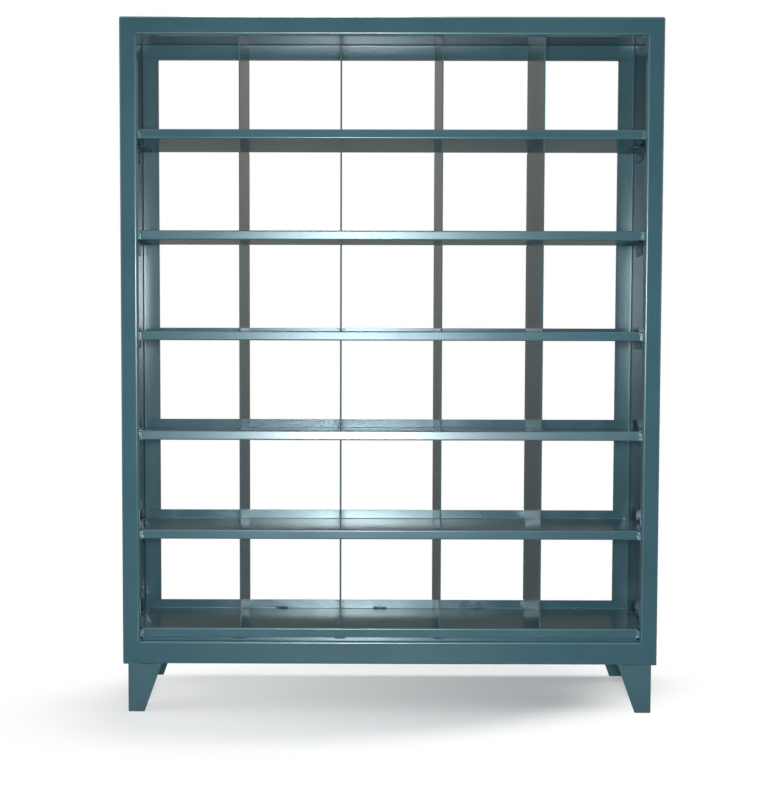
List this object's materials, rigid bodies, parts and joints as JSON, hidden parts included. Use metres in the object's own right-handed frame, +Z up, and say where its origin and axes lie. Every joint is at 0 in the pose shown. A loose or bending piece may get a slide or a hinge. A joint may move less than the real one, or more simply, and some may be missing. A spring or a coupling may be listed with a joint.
{
  "type": "metal pigeonhole rack",
  "caption": "Free-standing welded sheet-steel pigeonhole rack, open front and rear, with gently sloping shelves, hemmed upright dividers and a folded frame on short tapered legs.",
  "frame": {"origin": "on the floor, at the middle of the rack's footprint", "axes": "+X to the right when facing the open front, +Y from the front to the rear, +Z up; the front faces -Y"},
  "size_m": [1.524, 0.3048, 1.9698],
  "materials": {
    "enamel": "semi-gloss blue-green grey baked enamel over folded steel sheet, with slight orange peel"
  },
  "bodies": {
    "root": {"base_shelf": "enamel", "base_shelf_strip": "enamel", "base_shelf_tacks": "enamel", "divider_tier1_1": "enamel", "divider_tier1_2": "enamel", "divider_tier1_3": "enamel", "divider_tier1_4": "enamel", "divider_tier2_1": "enamel", "divider_tier2_2": "enamel", "divider_tier2_3": "enamel", "divider_tier2_4": "enamel", "divider_tier3_1": "enamel", "divider_tier3_2": "enamel", "divider_tier3_3": "enamel", "divider_tier3_4": "enamel", "divider_tier4_1": "enamel", "divider_tier4_2": "enamel", "divider_tier4_3": "enamel", "divider_tier4_4": "enamel", "divider_tier5_1": "enamel", "divider_tier5_2": "enamel", "divider_tier5_3": "enamel", "divider_tier5_4": "enamel", "divider_tier6_1": "enamel", "divider_tier6_2": "enamel", "divider_tier6_3": "enamel", "divider_tier6_4": "enamel", "frame_corner_welds": "enamel", "front_bottom_rail": "enamel", "front_left_leg": "enamel", "front_right_leg": "enamel", "left_side_panel": "enamel", "leg_welds": "enamel", "rear_bottom_rail": "enamel", "rear_left_leg": "enamel", "rear_right_leg": "enamel", "right_side_panel": "enamel", "shelf_1": "enamel", "shelf_2": "enamel", "shelf_3": "enamel", "shelf_4": "enamel", "shelf_5": "enamel", "shelf_clips": "enamel", "shelf_end_welds": "enamel", "top_panel": "enamel"}
  },
  "joints": []
}
